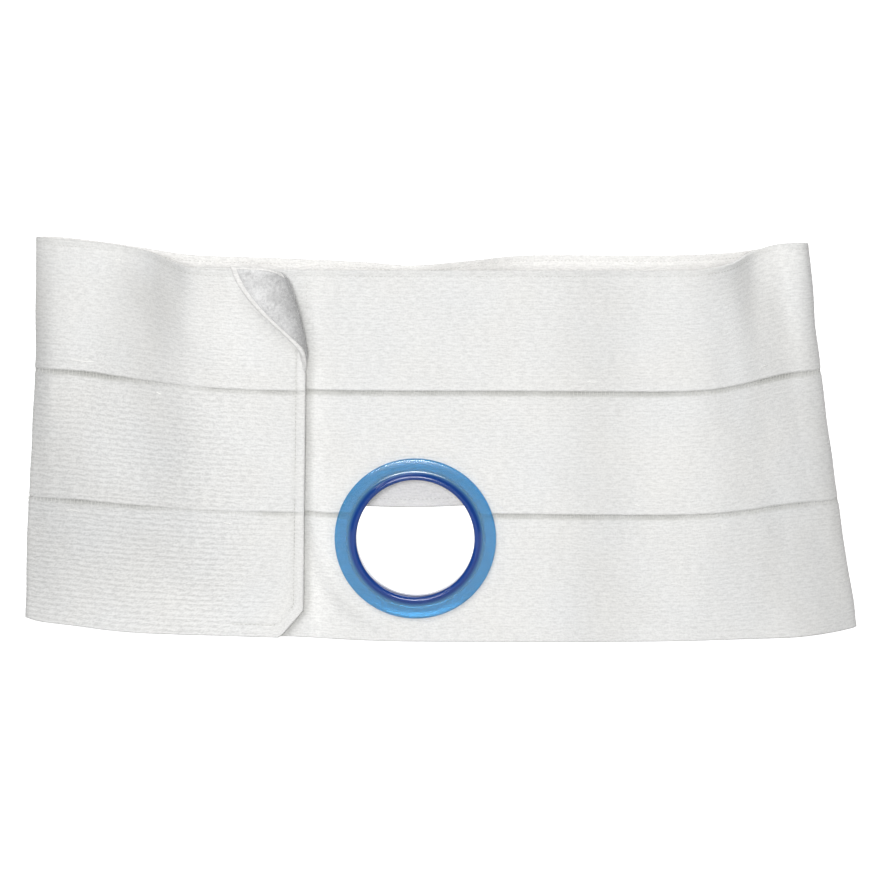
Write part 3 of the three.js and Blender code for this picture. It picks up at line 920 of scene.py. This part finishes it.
# The ring's hole is cut out of the cloth with a plain drum.
def cutHole(piece):
    count = ringShape["holeSides"]
    radius = np.full(count, hubRadius + ringShape["holeGap"])
    angles = np.linspace(0, 2 * np.pi, count, endpoint=False)
    ends = [ringPlace(radius, angles, np.full(count, side * ringShape["drumReach"])) for side in (-1, 1)]
    k = np.arange(count)
    nextK = (k + 1) % count
    faces = [*np.stack([k, nextK, nextK + count, k + count], 1), k[::-1], k + count]
    drum = newObject("holeDrum", np.concatenate(ends), faces)
    cut = piece.modifiers.new("hole", "BOOLEAN")
    cut.operation = "DIFFERENCE"
    cut.solver = "FAST"
    cut.object = drum
    bpy.context.view_layer.update()
    evaluated = piece.evaluated_get(bpy.context.evaluated_depsgraph_get())
    mesh = bpy.data.meshes.new_from_object(evaluated)
    piece.modifiers.clear()
    piece.data = mesh
    bpy.data.objects.remove(drum)


for key in ("middleBand", "bottomBandFront"):
    cutHole(bands[key])
print("hole cut")


def makeRing():
    profile = ringProfile()
    sides = ringShape["sides"]
    faces = ringQuads(sides, len(profile), closed=True)
    # where the hub is painted deep blue, fading out across the fillet
    low, high = hubRadius + ringShape["deepFrom"], hubRadius + ringShape["deepTo"]
    wall = 1 - smooth(low, high, np.tile(profile[:, 0], sides))
    piece = newObject("beltRing", ringPoints(), faces, marks={"wall": wall})
    return finished(piece, vinyl, "ring_vinyl", "belt_ring")


ring = makeRing()
print("ring made")


# Threads as thin tubes: each path is a list of points, all of one length
def makeTubes(name, paths, radius, sides, material, slotName):
    paths = np.asarray(paths)
    many, steps, _ = paths.shape
    along = unit(np.gradient(paths, axis=1))
    helper = np.where(np.abs(along[..., 2:]) > 0.9, [1.0, 0, 0], [0, 0, 1.0])
    sideways = unit(np.cross(along, helper))
    other = np.cross(along, sideways)
    turns = np.linspace(0, 2 * np.pi, sides, endpoint=False)
    thin = np.ones(steps)
    thin[[0, -1]] = 0.45
    around = sideways[:, :, None] * np.cos(turns)[:, None] + other[:, :, None] * np.sin(turns)[:, None]
    points = paths[:, :, None] + around * (radius * thin)[:, None, None]
    one = ringQuads(steps, sides)[:, [0, 3, 2, 1]]
    faces = (np.arange(many)[:, None, None] * steps * sides + one).reshape(-1, 4)
    caps = [np.arange(sides)[::-1], np.arange(sides) + (steps - 1) * sides]
    capFaces = [cap + i * steps * sides for i in range(many) for cap in caps]
    piece = newObject(name, points.reshape(-1, 3), [*faces, *capFaces])
    return finished(piece, material, slotName)


stitchShape = {
    "ladderPitch": 2.5,
    "ladderRadius": 0.2,
    "pitch": 2.6,
    "length": 1.7,
    "radius": 0.2,
    "selvageLine": 3.6,
    "backLine": 5.2,
    "sunk": 0.12,
    "hubGap": 1.5,
}


def surfacePoint(station, height, outward):
    level = levelAt(height)
    return cloth(station, level) + facing(cloth, station, level) * np.asarray(outward)[:, None]


def clearOfRing(points):
    proud, radius = fromRing(points)
    return (radius > hubRadius + stitchShape["hubGap"]) | (proud < -ringShape["backFrom"])


def ladderPaths(joint):
    height = heightAt(joint + 1)
    lengths = np.arange(1.5, loopLength - 1.5, stitchShape["ladderPitch"])
    if joint == 0:
        lengths = lengths[(lengths < lengthAt(rightTaper)) | (lengths > lengthAt(leftTaper))]
    across = np.linspace(-bandShape["jointBelow"] - 0.2, bandShape["jointAbove"] + 0.2, 5)
    sunk = np.array([-0.5, -0.28, -0.5, -0.28, -0.5])
    station = np.repeat(stationAt(lengths), 5)
    opening = jointOpening(station, joint)
    height = height + np.tile(across, len(lengths)) * (0.4 + 0.6 * opening)
    depth = halfWall + np.tile(sunk, len(lengths)) * opening - 0.35 * (1 - opening)
    paths = [surfacePoint(station, height, depth * side).reshape(-1, 5, 3) for side in (1, -1)]
    paths = np.concatenate(paths)
    return paths[clearOfRing(paths[:, 2])]


# Short stitches along a line given by its points as length round the loop and height
def stitchPaths(line, sides):
    line = np.array(line, float)
    steps = np.concatenate([[0], np.cumsum(np.linalg.norm(np.diff(line, axis=0), axis=1))])
    starts = np.arange(0.6, steps[-1] - stitchShape["length"], stitchShape["pitch"])
    along = starts[:, None] + np.array([0, 0.25, 0.75, 1]) * stitchShape["length"]
    lengths = np.interp(along.ravel(), steps, line[:, 0])
    heights = np.interp(along.ravel(), steps, line[:, 1])
    sunk = np.tile([-0.3, 0, 0, -0.3], len(starts)) - stitchShape["sunk"]
    station = stationAt(lengths)
    return [surfacePoint(station, heights, (halfWall + sunk) * side).reshape(-1, 4, 3) for side in sides]


def loopStitches():
    top = sum(bandHeights) - stitchShape["selvageLine"]
    paths = stitchPaths([(2, top), (loopLength - 7, top)], (1, -1))
    low = bandHeights[0] + stitchShape["backLine"]
    paths += stitchPaths([(lengthAt(rightTaper), low), (lengthAt(leftTaper), low)], (1, -1))
    return np.concatenate(paths)


def hemStitches():
    hem, top = flapShape["hemWidth"], sum(bandHeights) - 4
    footHem, cutEnd = flapShape["footHem"], flapShape["cutLength"] + flapShape["hemWidth"] * 0.6
    end = [(loopLength - hem, top), (loopLength - hem, flapShape["cutHeight"] + 3)]
    foot = [(loopLength - cutEnd, footHem), (loopLength - flapShape["footHemLength"], footHem)]
    return np.concatenate(stitchPaths(end + foot, (1, -1)))


# The front under the flap has a row of stitches where the flap's end lies over it.
def underStitches():
    place = lengthAt(np.array([2.02]))[0]
    return stitchPaths([(place, 187), (place, 225)], (1,))[0]


# Threads pulled out of the knit: the place across the front, the height and the length in mm
pulledThreads = {
    "columns": ("across", "height", "length"),
    "rows": [
        (-227, 73, 10), (-224, 162, 20), (-131, 72, 6), (-203, 222, 5), (40, 150, 5), (96, 162, 7),
        (170, 72, 6), (205, 163, 8), (-60, 86, 4), (120, 86, 5), (-175, 149, 5),
    ],
    "radius": 0.3,
}


def threadPaths():
    stations = np.concatenate([np.linspace(27.4, lastSection, 400), np.linspace(2.05, 12.9, 400)])
    places = cloth(stations, 1.5)[:, 0]
    paths = []
    for across, height, length in pulledThreads["rows"]:
        start = lengthAt(np.interp(across, places, stations)) - length / 2
        steps = np.linspace(0, 1, 6)
        heights = height + 0.35 * np.sin(steps * 5 + across)
        proud = halfWall + 0.3 * np.sin(steps * math.pi) - 0.15
        paths.append(surfacePoint(stationAt(start + steps * length), heights, proud))
    return np.array(paths)


for joint, name in enumerate(("lowerJointStitches", "upperJointStitches")):
    makeTubes(name, ladderPaths(joint), stitchShape["ladderRadius"], 6, jointThread, "elastic")
makeTubes("loopStitches", loopStitches(), stitchShape["radius"], 5, edgeThread, "elastic")
makeTubes("hemStitches", hemStitches(), stitchShape["radius"], 5, edgeThread, "elastic")
makeTubes("underStitches", underStitches(), stitchShape["radius"], 5, jointThread, "elastic")
makeTubes("pulledThreads", threadPaths(), pulledThreads["radius"], 6, pulledThread, "elastic")
print("stitches made")


padShape = {
    "width": 50,
    "thickness": 1.2,
    "inset": 1.6,
    "topInset": 0.8,
    "foot": 18,
    "gap": 0.3,
    "step": 0.8,
    "flatStep": 2.5,
    "rowStep": 1.6,
    "hookPitch": 1.5,
    "hookHeight": 0.75,
    "hookRadius": 0.14,
}


def makePad():
    curl = bandShape["curlLength"]
    fromEnd = np.concatenate([
        np.arange(padShape["width"], curl, -padShape["flatStep"]),
        np.arange(curl, padShape["inset"] + 0.4, -padShape["step"]),
        [padShape["inset"] + 0.2, padShape["inset"]],
    ])
    fromEnd = np.insert(fromEnd, 1, padShape["width"] - 0.3)
    low, high = padShape["foot"], sum(bandHeights) - padShape["topInset"]
    inner = np.linspace(low + 0.4, high - 0.4, int((high - low) / padShape["rowStep"]))
    heights = np.concatenate([[low], inner, [high]])
    rows, columns = len(fromEnd), len(heights)
    length = np.repeat(loopLength - fromEnd, columns)
    height = np.tile(heights, rows)
    station, level = stationAt(length), levelAt(height)
    point, out = cloth(station, level), facing(cloth, station, level)
    rim = np.minimum(np.minimum(height - low, high - height), loopLength - length - padShape["inset"])
    rim = np.minimum(rim, padShape["width"] - loopLength + length)
    inset = roundedEdge(rim, 0.4, 0.35)[:, None]
    near = -halfWall - padShape["gap"]
    outer = (point + out * (near - inset)).reshape(rows, columns, 3)
    inner = (point + out * (near - padShape["thickness"] + inset)).reshape(rows, columns, 3)
    around = np.concatenate([outer, inner[:, ::-1]], axis=1).reshape(-1, 3)
    # Painted shade on the pad: darker towards the fold of the peeled corner, the more so higher up.
    leaning = (peelTop - point) @ peelSide - 13 * np.maximum(0, height - 180) / 45
    bend = (1 - smooth(-3, 17, leaning)).reshape(rows, columns)
    bend = np.concatenate([bend, bend[:, ::-1]], axis=1).ravel()
    piece = newObject("hookPad", around, skinFaces(rows, 2 * columns), marks={"bend": bend})
    finished(piece, hookGround, "hook_tape", "hook_pad")
    return piece


def hookPaths():
    random = np.random.default_rng(11)
    pitch = padShape["hookPitch"]
    low, high = padShape["foot"] + 1, sum(bandHeights) - padShape["topInset"] - 0.8
    fromEnd, height = np.meshgrid(np.arange(padShape["inset"] + 0.8, padShape["width"] - 0.8, pitch * 0.6),
                                  np.arange(low, high, pitch))
    # where the pad is drawn out round the curl, it needs more hooks than where it lies flat
    keep = (fromEnd < bandShape["curlLength"]) | (np.arange(fromEnd.shape[1]) % 2 == 0)
    fromEnd, height = fromEnd[keep], height[keep]
    fromEnd = fromEnd + random.uniform(-0.3, 0.3, len(fromEnd))
    height = height + random.uniform(-0.45, 0.45, len(fromEnd))
    lean = random.uniform(-0.5, 0.5, (len(fromEnd), 2))
    ground = -halfWall - padShape["gap"] - padShape["thickness"]
    paths = []
    for share in (0, 0.55, 0.9, 1.0):
        station = stationAt(loopLength - fromEnd)
        bend = 0.5 * share**2
        tall = padShape["hookHeight"] * math.sin(share * math.pi / 2)
        level = levelAt(height + lean[:, 0] * share + bend)
        point = cloth(station, level) + facing(cloth, station, level) * (ground + 0.1 - tall)
        paths.append(point + lean[:, 1:] * share * 0.5 * peelSide)
    return np.stack(paths, axis=1)


makePad()
makeTubes("cutHooks", hookPaths(), padShape["hookRadius"], 4, hookTips, "hook_tape")
print("hook pad made")


# Stage, light and camera
stageLook = {
    "floor": "#fcfcfc",
    "floorGlow": 0.6,
    "sky": "#ffffff",
    "skyStrength": 0.38,
    "columns": ("name", "strength", "width", "height", "left"),
    "lights": [
        ("keyLight", 0.6, 30, 48, 20),
        ("frontLight", 1.84, 14, 12, 4),
        ("sideLight", 0.3, 8, 40, 44),
        ("backLight", 1.5, 40, 35, 200),
    ],
}


def makeFloor():
    half = 30000
    points = np.array([(-half, -half, 0), (half, -half, 0), (half, half, 0), (-half, half, 0)], float)
    floor = newObject("floor", points - shift, np.array([[0, 1, 2, 3]]))
    material, tree = newMaterial("paintedFloor")
    shader = addNode(tree, "BsdfPrincipled", Base_Color=linear(stageLook["floor"]),
                     Roughness=0.9, Specular_IOR_Level=0.1, Emission_Color=linear(stageLook["floor"]),
                     Emission_Strength=stageLook["floorGlow"]).outputs[0]
    addNode(tree, "OutputMaterial", Surface=shader)
    floor.data.materials.append(material)
    floor.visible_diffuse = False


# A far light of a width in degrees, from a height and from the left of the front
def makeLight(name, strength, width, height, left):
    light = bpy.data.lights.new(name, "SUN")
    light.energy = strength
    light.angle = math.radians(width)
    holder = bpy.data.objects.new(name, light)
    bpy.context.scene.collection.objects.link(holder)
    up, left = math.radians(height), math.radians(left)
    towards = Vector((math.sin(left) * math.cos(up), math.cos(left) * math.cos(up), -math.sin(up)))
    holder.rotation_euler = towards.to_track_quat("-Z", "Y").to_euler()


makeFloor()
for row in stageLook["lights"]:
    makeLight(*row)

world = bpy.data.worlds.new("paleSky")
bpy.context.scene.world = world
world.use_nodes = True
background = world.node_tree.nodes["Background"]
background.inputs["Color"].default_value = linear(stageLook["sky"])
background.inputs["Strength"].default_value = stageLook["skyStrength"]

cameraView = {
    "elevation": 12,
    "distance": 5000,
    "aim": (0, 0, 127.68),
    "widthSeen": 543.2,
    "sensor": 36,
}


def makeCamera():
    camera = bpy.data.cameras.new("camera")
    camera.sensor_width = cameraView["sensor"]
    camera.lens = cameraView["distance"] / cameraView["widthSeen"] * cameraView["sensor"]
    camera.clip_start = 0.1
    camera.clip_end = 100
    holder = bpy.data.objects.new("camera", camera)
    bpy.context.scene.collection.objects.link(holder)
    turn = math.radians(cameraView["elevation"])
    aim = Vector(np.array(cameraView["aim"]) + shift)
    back = Vector((0, -math.cos(turn), math.sin(turn)))
    holder.location = (aim + back * cameraView["distance"]) * mm
    holder.rotation_euler = (-back).to_track_quat("-Z", "Y").to_euler()
    bpy.context.scene.camera = holder


makeCamera()
bpy.context.scene.view_settings.view_transform = "Standard"
print("stage made")
